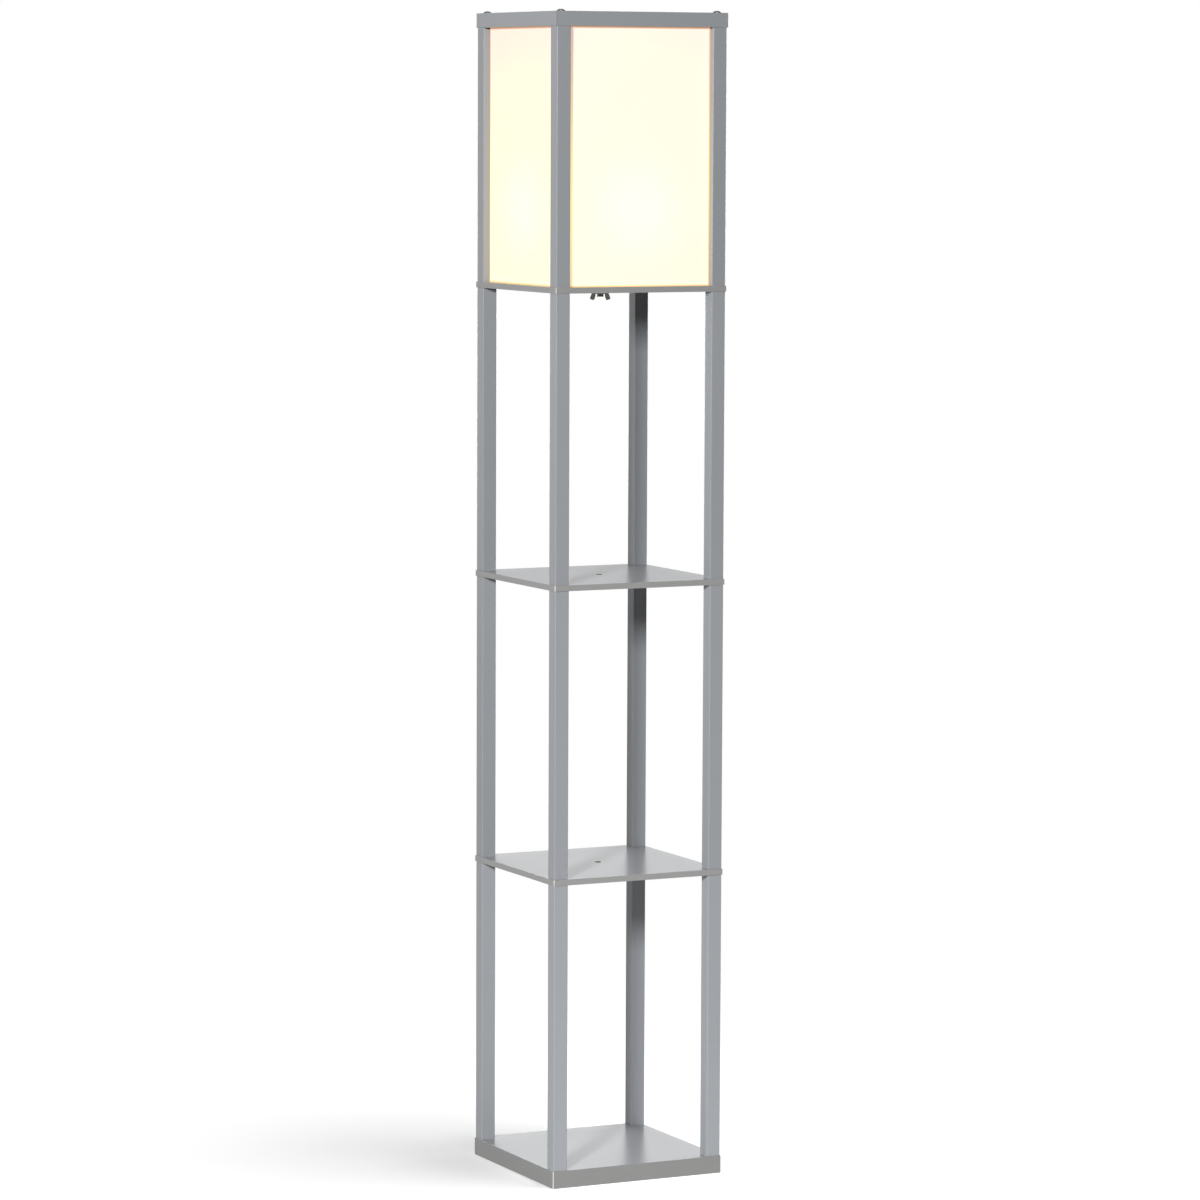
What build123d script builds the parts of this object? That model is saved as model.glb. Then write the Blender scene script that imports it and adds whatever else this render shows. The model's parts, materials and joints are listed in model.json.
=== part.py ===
from build123d import *
import os
from math import radians, sin, sqrt

# Shelf floor lamp: a square tower of posts and boards. Two open shelves stand over a thick base, and a
# tall lit shade of four translucent panels stands over them, under a mitred frame.
# Millimetres, +Z up, origin at the middle of the base's underside. The front is -Y, the left is -X.

# ---------------------------------------------------------------- boards and posts
board_side = 258.0  # over the edging strips
base_thickness = 24.0
shelf_thickness = 8.0  # lower shelf, middle shelf and shade floor
edging_thickness = 0.5
post_side = 20.5
post_edge_radius = 1.0
post_setback = 1.25  # from a board's edge back to a post's outer face
post_length = 394.0  # each of the three open tiers
shade_post_length = 350.0
rail_height = 20.0
rail_overhang = 1.25  # the top frame stands this far inside the posts' inner faces

# ---------------------------------------------------------------- diffuser panels
panel_thickness = 0.8
panel_side_clearance = 0.2  # each side of a panel in its groove
panel_end_clearance = 0.3  # a panel's edge to the groove's floor
post_groove_depth = 4.0
rail_groove_depth = 3.0

# ---------------------------------------------------------------- studs, bolts and inserts
thread_radius = 3.0  # M6
thread_clearance = 0.05  # plain cylinders stand for the threads
stud_engagement = 18.0  # a stud's or bolt's length inside a post
stud_end_chamfer = 0.6
board_hole_clearance = 0.2
insert_radius = 4.9
insert_length = 15.0
insert_barbs = 4
insert_barb_depth = 0.6
insert_fit = 0.05  # between an insert's barbs and its hole
insert_hole_depth = 20.0
base_bolt_head_radius = 5.5
base_bolt_head_height = 5.0
base_bolt_recess_radius = 7.0
base_bolt_recess_depth = 9.0
top_screw_head_radius = 6.3
top_screw_head_height = 3.0
hex_socket_radius = 2.3  # over the corners
hex_socket_depth = 2.0

# ---------------------------------------------------------------- nipple, washer and wing nut
nipple_radius = 4.9  # M10
nipple_bore_radius = 4.0  # the cord's way in
nipple_below = 10.0  # under the shade floor
nipple_chamfer = 0.4
centre_hole_clearance = 0.2  # all three shelf boards carry the same hole
washer_radius = 11.0
washer_thickness = 1.5
washer_clearance = 0.3
wing_hub_top_radius = 9.0
wing_hub_bottom_radius = 6.5
wing_hub_height = 7.5
wing_nut_clearance = 0.1
ear_width = 5.6
ear_thickness = 4.0
ear_root_radius = 6.9  # from the nut's axis to the middle of an ear's root
ear_tip_radius = 11.5
ear_drop = 12.2  # root to tip, straight down
ear_corner_radius = 1.2
wing_nut_angle = -26.0  # how the nut was left when it was tightened, in degrees

# ---------------------------------------------------------------- lampholder, size E27
holder_radius = 19.5
holder_rounding = 4.5  # between the foot and the side
holder_wall = 2.2
holder_floor = 3.0
holder_boss_radius = 8.0
holder_boss_height = 8.0  # the nipple reaches the top of this boss
holder_cap_height = 18.0
spigot_radius = 17.2  # the skirt screws over this spigot
spigot_height = 6.0
spigot_wall = 2.0
skirt_fit = 0.05
skirt_height = 35.0
skirt_wall_above = 4.2
core_fit = 0.2
core_depth = 9.0  # inside the spigot
core_flange_thickness = 1.5
shell_bore_radius = 13.35
shell_wall = 0.4
shell_height = 23.5
shell_lip = 3.5  # the shell's turned-in foot
tongue_width = 6.0
tongue_thickness = 0.5
tongue_rise = 3.0  # from the core up to the contact face
tongue_foot = 8.0  # length of the fixed leg
tongue_reach = 4.0  # length of the sprung leg past the axis
terminal_screw_spacing = 16.0
terminal_screw_radius = 1.75
terminal_screw_length = 6.0
terminal_head_radius = 3.0
terminal_head_height = 2.2

# ---------------------------------------------------------------- bulb
foot_contact_height = 1.2
foot_contact_tip_radius = 2.5
foot_contact_radius = 5.0
cap_insulator_height = 3.8
cap_base_radius = 10.5
cap_crest_radius = 13.1
cap_root_radius = 12.2
cap_inner_radius = 11.6
cap_pitch = 3.629
cap_rings = 5
cap_collar_height = 3.5
neck_fit = 0.1
neck_depth = 14.0  # the housing's neck inside the cap
neck_wall = 1.6
shoulder_radius = 14.5
housing_height = 34.0
housing_wall = 2.5
housing_bulge = 3.0  # how far the housing's side swells from a straight cone
led_board_thickness = 1.6
led_board_fit = 0.2
led_board_seat = 2.5  # width of the ledge that the board lies on
led_count = 12
led_size = 2.8
led_height = 0.7
led_circle_radius = 17.0
driver_board_width = 17.0
driver_board_thickness = 1.6
globe_radius = 30.0
globe_wall = 1.2
globe_rise = 13.5  # from the LED board up to the globe's centre

# ---------------------------------------------------------------- levels
lower_shelf_bottom = base_thickness + post_length
lower_shelf_top = lower_shelf_bottom + shelf_thickness
middle_shelf_bottom = lower_shelf_top + post_length
middle_shelf_top = middle_shelf_bottom + shelf_thickness
shade_floor_bottom = middle_shelf_top + post_length
shade_floor_top = shade_floor_bottom + shelf_thickness
shade_posts_top = shade_floor_top + shade_post_length
lamp_top = shade_posts_top + rail_height

# ---------------------------------------------------------------- places worked out from the sizes
half_side = board_side / 2
post_centre = half_side - post_setback - post_side / 2
groove_width = panel_thickness + 2 * panel_side_clearance
groove_end = post_centre - post_side / 2 + post_groove_depth
insert_hole_radius = insert_radius + insert_fit
board_hole_radius = thread_radius + board_hole_clearance
centre_hole_radius = nipple_radius + centre_hole_clearance
corners = {
    "front_left": (-1, -1),
    "front_right": (1, -1),
    "back_left": (-1, 1),
    "back_right": (1, 1),
}
# Quarter turns that bring a piece made for the front round to each side.
sides = {"front": 0, "right": 90, "back": 180, "left": 270}


# ---------------------------------------------------------------- helpers
def save(name, *solids):
    """Write one node: one solid, or several separate ones of the same kind."""
    shape = solids[0] if len(solids) == 1 else Compound(children=list(solids))
    shape.label = name
    export_step(shape, os.path.join("parts", name + ".step"))


def upright(radius, bottom, top):
    """A cylinder on the Z axis between two heights."""
    return Pos(0, 0, (bottom + top) / 2) * Cylinder(radius, top - bottom)


def slab(width, depth, bottom, top):
    """A block centred on the Z axis between two heights."""
    return Pos(0, 0, (bottom + top) / 2) * Box(width, depth, top - bottom)


def at_corners(solid):
    """Copies of a solid on the axes of the four posts."""
    return [Pos(x * post_centre, y * post_centre, 0) * solid for x, y in corners.values()]


def turned(*lines):
    """Spin a closed outline, drawn in the XZ plane, round the Z axis."""
    return revolve(make_face([edge for line in lines for edge in line.edges()]), Axis.Z)


def spun(points):
    """Spin a closed outline of straight lines round the Z axis; points are (radius, height)."""
    corners_3d = [(radius, 0, height) for radius, height in points]
    return revolve(make_face(Polyline(*corners_3d, close=True)), Axis.Z)


# ---------------------------------------------------------------- boards and edging
def shelf_board(bottom):
    """A shelf board with a hole over each post and the shared centre hole."""
    core_side = board_side - 2 * edging_thickness
    top = bottom + shelf_thickness
    board = slab(core_side, core_side, bottom, top)
    for hole in at_corners(upright(board_hole_radius, bottom, top)):
        board -= hole
    return board - upright(centre_hole_radius, bottom, top)


def base_board():
    """The base, with recesses in its underside for the bolt heads."""
    core_side = board_side - 2 * edging_thickness
    board = slab(core_side, core_side, 0, base_thickness)
    hole = upright(board_hole_radius, 0, base_thickness)
    recess = upright(base_bolt_recess_radius, 0, base_bolt_recess_depth)
    for cut in at_corners(hole + recess):
        board -= cut
    return board


def edging_strips(bottom, top):
    """Four strips round a board: the front and back ones run over the ends of the side ones."""
    offset = half_side - edging_thickness / 2
    strips = []
    for name, turn in sides.items():
        length = board_side if name in ("front", "back") else board_side - 2 * edging_thickness
        strips.append(Rot(0, 0, turn) * Pos(0, -offset, 0) * slab(length, edging_thickness, bottom, top))
    return strips


# ---------------------------------------------------------------- posts
def post(bottom, length):
    """A square post with rounded long edges and an insert's hole in each end."""
    blank = slab(post_side, post_side, bottom, bottom + length)
    blank = fillet(blank.edges().filter_by(Axis.Z), post_edge_radius)
    blank -= upright(insert_hole_radius, bottom, bottom + insert_hole_depth)
    return blank - upright(insert_hole_radius, bottom + length - insert_hole_depth, bottom + length)


def shade_post(x_side, y_side):
    """A post of the shade, with a panel groove in each of its two inner faces."""
    blank = post(shade_floor_top, shade_post_length)
    groove_middle = (post_side - post_groove_depth) / 2
    across = slab(post_groove_depth, groove_width, shade_floor_top, shade_posts_top)
    along = slab(groove_width, post_groove_depth, shade_floor_top, shade_posts_top)
    blank -= Pos(-x_side * groove_middle, 0, 0) * across
    return blank - Pos(0, -y_side * groove_middle, 0) * along


def save_posts(tier, bottom):
    """The four plain posts of an open tier."""
    for name, (x, y) in corners.items():
        save(f"{tier}_post_{name}", Pos(x * post_centre, y * post_centre, 0) * post(bottom, post_length))


# ---------------------------------------------------------------- fasteners in the posts
def threaded_insert():
    """An insert with its mouth at height 0 and its barbed body above."""
    step = insert_length / insert_barbs
    bore = thread_radius + thread_clearance
    outline = [(bore, 0)]
    for ring in range(insert_barbs):
        outline.append((insert_radius, ring * step))
        outline.append((insert_radius - insert_barb_depth, (ring + 1) * step))
    outline.append((bore, insert_length))
    return spun(outline)


def tier_inserts(bottom, top):
    """Both inserts of each of a tier's four posts."""
    lower = at_corners(Pos(0, 0, bottom) * threaded_insert())
    upper = at_corners(Pos(0, 0, top) * Rot(180, 0, 0) * threaded_insert())
    return lower + upper


def studs(board_bottom):
    """Double-ended studs through a shelf board, from the posts below to the posts above."""
    rod = upright(thread_radius, board_bottom - stud_engagement,
                  board_bottom + shelf_thickness + stud_engagement)
    return at_corners(chamfer(rod.edges(), stud_end_chamfer))


def hex_socket(face_height):
    """The key's socket, to be cut out of a head whose top is at the given height."""
    hexagon = Pos(0, 0, face_height - hex_socket_depth) * RegularPolygon(hex_socket_radius, 6)
    return extrude(hexagon, hex_socket_depth)


def base_bolts():
    """Cylinder-headed bolts, upwards through the base into the lower posts."""
    head = upright(base_bolt_head_radius, 0, base_bolt_head_height) - hex_socket(base_bolt_head_height)
    shank_length = base_thickness - base_bolt_recess_depth + stud_engagement
    shank = chamfer(upright(thread_radius, -shank_length, 0).edges().group_by(Axis.Z)[0], stud_end_chamfer)
    return at_corners(Pos(0, 0, base_bolt_recess_depth) * Rot(180, 0, 0) * (head + shank))


def top_screws():
    """Domed screws, downwards through the top frame into the shade posts."""
    dome_radius = (top_screw_head_radius**2 + top_screw_head_height**2) / (2 * top_screw_head_height)
    dome = Pos(0, 0, top_screw_head_height - dome_radius) * Sphere(dome_radius)
    head = dome & upright(top_screw_head_radius, 0, top_screw_head_height)
    head -= hex_socket(top_screw_head_height)
    shank_length = rail_height + stud_engagement
    shank = chamfer(upright(thread_radius, -shank_length, 0).edges().group_by(Axis.Z)[0], stud_end_chamfer)
    return at_corners(Pos(0, 0, lamp_top) * (head + shank))


# ---------------------------------------------------------------- shade panels and top frame
def diffuser_panel():
    """The front panel, standing on the shade floor, its edges in the grooves of posts and rail."""
    width = 2 * (groove_end - panel_end_clearance)
    top = shade_posts_top + rail_groove_depth - panel_end_clearance
    return Pos(0, -post_centre, 0) * slab(width, panel_thickness, shade_floor_top, top)


def top_rail():
    """The front rail: mitred ends, half a screw hole in each, and a groove for its panel."""
    inner_half = half_side - post_setback - post_side - rail_overhang
    outline = Polyline((-half_side, -half_side), (half_side, -half_side),
                       (inner_half, -inner_half), (-inner_half, -inner_half), close=True)
    rail = Pos(0, 0, shade_posts_top) * extrude(make_face(outline), rail_height)
    for hole in at_corners(upright(board_hole_radius, shade_posts_top, lamp_top)):
        rail -= hole
    groove = slab(2 * groove_end, groove_width, shade_posts_top, shade_posts_top + rail_groove_depth)
    return rail - Pos(0, -post_centre, 0) * groove


# ---------------------------------------------------------------- nipple, washer and wing nut
def threaded_nipple():
    """The hollow nipple that carries the lampholder and lets the cord in from below."""
    bottom = shade_floor_bottom - nipple_below
    rod = upright(nipple_radius, bottom, shade_floor_top + holder_boss_height)
    rod = chamfer(rod.edges(), nipple_chamfer)
    return rod - upright(nipple_bore_radius, bottom, shade_floor_top + holder_boss_height)


def washer():
    """The plain washer between the wing nut and the shade floor."""
    bottom = shade_floor_bottom - washer_thickness
    disc = upright(washer_radius, bottom, shade_floor_bottom)
    return disc - upright(nipple_radius + washer_clearance, bottom, shade_floor_bottom)


def wing_nut():
    """A conical hub with two square ears that splay outwards and down."""
    top = shade_floor_bottom - washer_thickness
    hub = Pos(0, 0, top - wing_hub_height / 2) * Cone(wing_hub_bottom_radius, wing_hub_top_radius,
                                                      wing_hub_height)
    spread = ear_tip_radius - ear_root_radius
    ear_length = sqrt(spread**2 + ear_drop**2)
    lean = Vector(0, 0, -1).get_angle(Vector(spread, 0, -ear_drop))
    ear = Box(ear_width, ear_thickness, ear_length)
    ear = fillet(ear.edges().filter_by(Axis.Y).group_by(Axis.Z)[0], ear_corner_radius)
    # The ear's upper outer corner comes level with the hub's top face.
    ear_middle = top - ear_width / 2 * sin(radians(lean)) - ear_drop / 2
    ear = Pos((ear_root_radius + ear_tip_radius) / 2, 0, ear_middle) * Rot(0, -lean, 0) * ear
    nut = hub + ear + Rot(0, 0, 180) * ear
    nut -= upright(nipple_radius + wing_nut_clearance, top - wing_hub_height, top)
    return Rot(0, 0, wing_nut_angle) * nut


# ---------------------------------------------------------------- lampholder
spigot_bottom = shade_floor_top + holder_cap_height
spigot_top = spigot_bottom + spigot_height
core_top = spigot_top + core_flange_thickness
contact_height = core_top + tongue_rise
core_bottom = spigot_top - core_depth
core_flange_radius = spigot_radius - core_fit
skirt_top = spigot_bottom + skirt_height
spigot_inner_radius = spigot_radius - spigot_wall


def lampholder_cap():
    """The cup under the lampholder, with a boss on the nipple and a spigot for the skirt."""
    floor = shade_floor_top
    bore = nipple_radius + thread_clearance
    cavity = holder_radius - holder_wall
    foot_radius = holder_radius - holder_rounding
    side_foot = floor + holder_rounding
    boss_top = floor + holder_boss_height
    step = spigot_bottom - spigot_wall
    halfway = holder_rounding * sin(radians(45))
    rounding = ThreePointArc((foot_radius, 0, floor), (foot_radius + halfway, 0, side_foot - halfway),
                             (holder_radius, 0, side_foot))
    rest = Polyline((holder_radius, 0, side_foot), (holder_radius, 0, spigot_bottom),
                    (spigot_radius, 0, spigot_bottom), (spigot_radius, 0, spigot_top),
                    (spigot_inner_radius, 0, spigot_top), (spigot_inner_radius, 0, step),
                    (cavity, 0, step - (cavity - spigot_inner_radius)), (cavity, 0, side_foot),
                    (foot_radius, 0, floor + holder_floor), (holder_boss_radius, 0, floor + holder_floor),
                    (holder_boss_radius, 0, boss_top), (bore, 0, boss_top), (bore, 0, floor),
                    (foot_radius, 0, floor))
    return turned(rounding, rest)


def lampholder_skirt():
    """The sleeve that screws onto the cap and clamps the core's flange."""
    lower_bore = spigot_radius + skirt_fit
    upper_bore = holder_radius - skirt_wall_above
    ledge = core_top + core_fit
    return spun([(lower_bore, spigot_bottom), (holder_radius, spigot_bottom), (holder_radius, skirt_top),
                 (upper_bore, skirt_top), (upper_bore, ledge), (lower_bore, ledge)])


def lampholder_core():
    """The insulating core: a plug inside the spigot and a flange on the spigot's rim."""
    plug = upright(spigot_inner_radius - core_fit, core_bottom, spigot_top)
    core = plug + upright(core_flange_radius, spigot_top, core_top)
    hole = upright(terminal_screw_radius + thread_clearance, core_bottom,
                   core_bottom + terminal_screw_length)
    for side in (-1, 1):
        core -= Pos(side * terminal_screw_spacing / 2, 0, 0) * hole
    return core


def terminal_screws():
    """The two screws that clamp the wires, heads down."""
    head = upright(terminal_head_radius, core_bottom - terminal_head_height, core_bottom)
    screw = head + upright(terminal_screw_radius, core_bottom, core_bottom + terminal_screw_length)
    return [Pos(side * terminal_screw_spacing / 2, 0, 0) * screw for side in (-1, 1)]


def screw_shell():
    """The brass shell that the bulb screws into, standing on its turned-in foot."""
    outer = shell_bore_radius + shell_wall
    foot = shell_bore_radius - shell_lip
    return spun([(foot, core_top), (outer, core_top), (outer, core_top + shell_height),
                 (shell_bore_radius, core_top + shell_height),
                 (shell_bore_radius, core_top + shell_wall), (foot, core_top + shell_wall)])


def contact_tongue():
    """A folded strip: a fixed leg on the core and a sprung leg under the bulb's contact."""
    fold = tongue_reach
    low, high = core_top, contact_height
    outline = Polyline((-tongue_foot, low), (fold, low), (fold, high), (-tongue_reach, high),
                       (-tongue_reach, high - tongue_thickness),
                       (fold - tongue_thickness, high - tongue_thickness),
                       (fold - tongue_thickness, low + tongue_thickness),
                       (-tongue_foot, low + tongue_thickness), close=True)
    profile = make_face(Plane.XZ * outline)
    return extrude(profile, tongue_width / 2, both=True)


# ---------------------------------------------------------------- bulb
insulator_bottom = contact_height + foot_contact_height
cap_bottom = insulator_bottom + cap_insulator_height
cap_thread_top = cap_bottom + (cap_rings + 0.5) * cap_pitch
cap_top = cap_thread_top + cap_collar_height
led_board_bottom = cap_top + housing_height - led_board_thickness
led_board_top = cap_top + housing_height
globe_centre = led_board_top + globe_rise
globe_rim_radius = sqrt(globe_radius**2 - globe_rise**2)
led_board_radius = globe_rim_radius
housing_rim_radius = led_board_radius + led_board_fit + 0.8


def foot_contact():
    """The contact button at the bottom of the bulb."""
    middle = (contact_height + insulator_bottom) / 2
    return Pos(0, 0, middle) * Cone(foot_contact_tip_radius, foot_contact_radius, foot_contact_height)


def cap_insulator():
    """The glassy cone between the contact button and the screw cap."""
    middle = (insulator_bottom + cap_bottom) / 2
    return Pos(0, 0, middle) * Cone(foot_contact_radius, cap_base_radius, cap_insulator_height)


def bulb_cap():
    """The bulb's screw cap: rolled rings stand for its round thread."""
    pieces = [Line((cap_inner_radius, 0, cap_thread_top + cap_collar_height),
                   (cap_inner_radius, 0, cap_bottom + cap_pitch / 2)),
              Line((cap_inner_radius, 0, cap_bottom + cap_pitch / 2), (cap_base_radius - 1.0, 0, cap_bottom)),
              Line((cap_base_radius - 1.0, 0, cap_bottom), (cap_base_radius, 0, cap_bottom)),
              Line((cap_base_radius, 0, cap_bottom), (cap_root_radius, 0, cap_bottom + cap_pitch / 2))]
    for ring in range(cap_rings):
        foot = cap_bottom + (ring + 0.5) * cap_pitch
        pieces.append(ThreePointArc((cap_root_radius, 0, foot),
                                    (cap_crest_radius, 0, foot + cap_pitch / 2),
                                    (cap_root_radius, 0, foot + cap_pitch)))
    pieces.append(Line((cap_root_radius, 0, cap_thread_top), (cap_root_radius, 0, cap_top)))
    pieces.append(Line((cap_root_radius, 0, cap_top), (cap_inner_radius, 0, cap_top)))
    return turned(*pieces)


def swollen_side(low_radius, low, high_radius, high):
    """A curved side between two heights, swelling outwards from the straight cone."""
    middle = ((low_radius + high_radius) / 2 + housing_bulge, 0, (low + high) / 2)
    return ThreePointArc((low_radius, 0, low), middle, (high_radius, 0, high))


def bulb_housing():
    """The bulb's flared housing, with a neck inside the cap and a ledge for the LED board."""
    neck = cap_inner_radius - neck_fit
    bore = neck - neck_wall
    neck_bottom = cap_top - neck_depth
    seat_outer = led_board_radius + led_board_fit
    seat_inner = led_board_radius - led_board_seat
    foot_inside = shoulder_radius - housing_wall
    outer_side = swollen_side(shoulder_radius, cap_top, housing_rim_radius, led_board_top)
    inner_side = swollen_side(foot_inside, cap_top + housing_wall, seat_inner, led_board_bottom)
    rim = Polyline((housing_rim_radius, 0, led_board_top), (seat_outer, 0, led_board_top),
                   (seat_outer, 0, led_board_bottom), (seat_inner, 0, led_board_bottom))
    foot = Polyline((foot_inside, 0, cap_top + housing_wall), (bore, 0, cap_top + housing_wall),
                    (bore, 0, neck_bottom), (neck, 0, neck_bottom), (neck, 0, cap_top),
                    (shoulder_radius, 0, cap_top))
    return turned(outer_side, rim, inner_side, foot)


def led_board():
    """The round board, with its ring of LEDs soldered on."""
    board = upright(led_board_radius, led_board_bottom, led_board_top)
    chip = Pos(led_circle_radius, 0, 0) * slab(led_size, led_size, led_board_top, led_board_top + led_height)
    for number in range(led_count):
        board += Rot(0, 0, number * 360 / led_count) * chip
    return board


def driver_board():
    """The driver's board, on edge under the LED board and down into the cap."""
    return slab(driver_board_width, driver_board_thickness, cap_top - neck_depth, led_board_bottom)


def bulb_globe():
    """The opal globe, open below, standing on the LED board's rim."""
    inner_radius = globe_radius - globe_wall
    ball = Pos(0, 0, globe_centre) * (Sphere(globe_radius) - Sphere(inner_radius))
    keep = upright(globe_radius, led_board_top, globe_centre + globe_radius)
    return ball & keep


# ---------------------------------------------------------------- write every node
def save_structure():
    save("base_board", base_board())
    save("base_edging", *edging_strips(0, base_thickness))
    save_posts("lower", base_thickness)
    save_posts("middle", lower_shelf_top)
    save_posts("upper", middle_shelf_top)
    boards = {"lower_shelf": lower_shelf_bottom, "middle_shelf": middle_shelf_bottom,
              "shade_floor": shade_floor_bottom}
    for name, bottom in boards.items():
        save(name, shelf_board(bottom))
        save(name + "_edging", *edging_strips(bottom, bottom + shelf_thickness))


def save_shade():
    for name, (x, y) in corners.items():
        save("shade_post_" + name, Pos(x * post_centre, y * post_centre, 0) * shade_post(x, y))
    for name, turn in sides.items():
        save("diffuser_" + name, Rot(0, 0, turn) * diffuser_panel())
        save("top_rail_" + name, Rot(0, 0, turn) * top_rail())


def save_fasteners():
    save("base_bolts", *base_bolts())
    save("lower_shelf_studs", *studs(lower_shelf_bottom))
    save("middle_shelf_studs", *studs(middle_shelf_bottom))
    save("shade_floor_studs", *studs(shade_floor_bottom))
    save("top_screws", *top_screws())
    save("lower_post_inserts", *tier_inserts(base_thickness, lower_shelf_bottom))
    save("middle_post_inserts", *tier_inserts(lower_shelf_top, middle_shelf_bottom))
    save("upper_post_inserts", *tier_inserts(middle_shelf_top, shade_floor_bottom))
    save("shade_post_inserts", *tier_inserts(shade_floor_top, shade_posts_top))


def save_lampholder():
    save("threaded_nipple", threaded_nipple())
    save("washer", washer())
    save("wing_nut", wing_nut())
    save("lampholder_cap", lampholder_cap())
    save("lampholder_skirt", lampholder_skirt())
    save("lampholder_core", lampholder_core())
    save("terminal_screws", *terminal_screws())
    save("screw_shell", screw_shell())
    save("contact_tongue", contact_tongue())


def save_bulb():
    save("bulb_foot_contact", foot_contact())
    save("bulb_cap_insulator", cap_insulator())
    save("bulb_cap", bulb_cap())
    save("bulb_housing", bulb_housing())
    save("bulb_led_board", led_board())
    save("bulb_driver_board", driver_board())
    save("bulb_globe", bulb_globe())


os.makedirs("parts", exist_ok=True)
save_structure()
save_shade()
save_fasteners()
save_lampholder()
save_bulb()
print("lamp height", lamp_top + top_screw_head_height, "post centres", post_centre, "globe centre",
      globe_centre, "contact height", contact_height, "cap top", cap_top, "skirt top", skirt_top)
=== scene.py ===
import json
import math
import bmesh
import bpy
from mathutils import Matrix, Vector

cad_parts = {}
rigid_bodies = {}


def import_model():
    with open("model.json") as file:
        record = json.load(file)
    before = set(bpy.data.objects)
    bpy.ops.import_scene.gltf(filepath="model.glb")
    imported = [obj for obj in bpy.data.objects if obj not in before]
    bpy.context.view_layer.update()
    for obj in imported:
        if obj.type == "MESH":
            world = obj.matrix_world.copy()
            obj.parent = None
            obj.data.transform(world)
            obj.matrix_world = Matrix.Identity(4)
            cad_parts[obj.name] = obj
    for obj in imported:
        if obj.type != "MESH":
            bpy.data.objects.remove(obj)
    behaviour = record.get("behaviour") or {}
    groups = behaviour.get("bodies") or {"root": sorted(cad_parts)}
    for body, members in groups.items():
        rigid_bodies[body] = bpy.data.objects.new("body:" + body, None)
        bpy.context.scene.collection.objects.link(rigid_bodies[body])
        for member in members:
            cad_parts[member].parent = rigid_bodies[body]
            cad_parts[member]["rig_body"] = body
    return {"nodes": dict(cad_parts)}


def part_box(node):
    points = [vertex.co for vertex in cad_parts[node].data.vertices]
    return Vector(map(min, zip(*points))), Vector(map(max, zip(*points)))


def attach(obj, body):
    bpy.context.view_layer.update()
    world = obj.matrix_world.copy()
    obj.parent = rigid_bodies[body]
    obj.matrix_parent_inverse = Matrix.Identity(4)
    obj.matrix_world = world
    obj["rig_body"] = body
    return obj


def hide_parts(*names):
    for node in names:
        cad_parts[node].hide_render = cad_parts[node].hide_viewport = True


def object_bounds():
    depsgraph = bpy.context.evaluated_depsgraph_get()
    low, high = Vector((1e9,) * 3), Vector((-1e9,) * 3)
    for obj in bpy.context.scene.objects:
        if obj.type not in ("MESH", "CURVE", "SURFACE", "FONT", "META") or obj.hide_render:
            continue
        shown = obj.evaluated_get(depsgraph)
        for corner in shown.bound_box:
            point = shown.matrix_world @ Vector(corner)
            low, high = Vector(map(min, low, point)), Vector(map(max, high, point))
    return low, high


# The looks of the shelf floor lamp: wrapped and edged boards, foil-wrapped posts, a mitred top frame, lit
# linen panels, and the metal and moulded parts that carry the bulb. Metres, +Z up. The front is -Y and the
# left is -X.

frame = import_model()
cad_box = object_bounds()
MM = 0.001

# ---------------------------------------------------------------- places taken from the frame
TIERS = ("lower", "middle", "upper", "shade")
CORNERS = ("front_left", "front_right", "back_left", "back_right")
SIDES = {"front": 0, "right": 90, "back": 180, "left": 270}  # quarter turns that bring the front round
BOARDS = ("base_board", "lower_shelf", "middle_shelf", "shade_floor")

half_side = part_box("base_edging")[1].x
post_low, post_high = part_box("lower_post_front_left")
post_middle = -(post_low.x + post_high.x) / 2  # from the lamp's axis to a post's, along X and along Y
post_inner = -post_high.x  # from the lamp's axis to a post's inner face
globe_low, globe_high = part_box("bulb_globe")
bulb_middle = globe_high.z - globe_high.x  # height of the globe's centre
panel_low, panel_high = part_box("diffuser_front")
rail_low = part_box("top_rail_front")[0].z
base_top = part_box("base_board")[1].z
shade_floor_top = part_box("shade_floor")[1].z

# ---------------------------------------------------------------- camera, found from the board corners
CAMERA_PLACE = (-3.0652, -6.2824, 1.4737)
CAMERA_TURN = 26.02  # degrees towards +X from looking along +Y
CAMERA_DIP = 5.567
CAMERA_ROLL = 0.236
CAMERA_LENS = 152.133
SENSOR = 36.0

# ---------------------------------------------------------------- lights
KEY_PLACE = (-3.56, -3.926, 2.33)
KEY_SIZE = (0.6, 0.8)
KEY_POWER = 364.0
SIDE_FILL_PLACE = (3.80, 1.10, 1.4)  # the two fills light the sides that the camera doesn't see
REAR_FILL_PLACE = (0.35, 3.95, 1.4)
FILL_SIZE = 1.5
SIDE_FILL_POWER = 85.0
REAR_FILL_POWER = 80.0
TOP_LIGHT_PLACE = (0, 0, 4.0)  # straight above, so that it lights the top frame and no shelf
TOP_LIGHT_SIZE = 0.5
TOP_LIGHT_POWER = 40.0
BACK_PLACE = (1.75, 3.59, 0.63)  # a low bright strip behind the lamp, mirrored in the shelf tops
BACK_SIZE = (3.0, 1.0)
BACK_POWER = 9.5
FLOOR_LIGHT_PLACE = (0.59, -0.59, 3.91)
FLOOR_LIGHT_SIZE = 1.6
FLOOR_LIGHT_POWER = 140.0
FLOOR_OPEN = 0.60  # how much of the floor's light comes from all round, and so has no shadow in it
FLOOR_GLOSS = 0.6  # how much of the floor's light the lamp's gloss mirrors
FLOOR_BOUNCE = 0.5  # how much of the near floor's light reaches the lamp from below
BOUNCE_NEAR = 0.4  # that share holds out to here, and falls to nothing at BOUNCE_FAR
BOUNCE_FAR = 2.0
FRONT_GLOSS = 0.2  # what gloss mirrors of the room behind the camera; the background is 1
AMBIENT = 0.015  # what the room gives to a diffuse surface; a mirror would see it white
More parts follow.
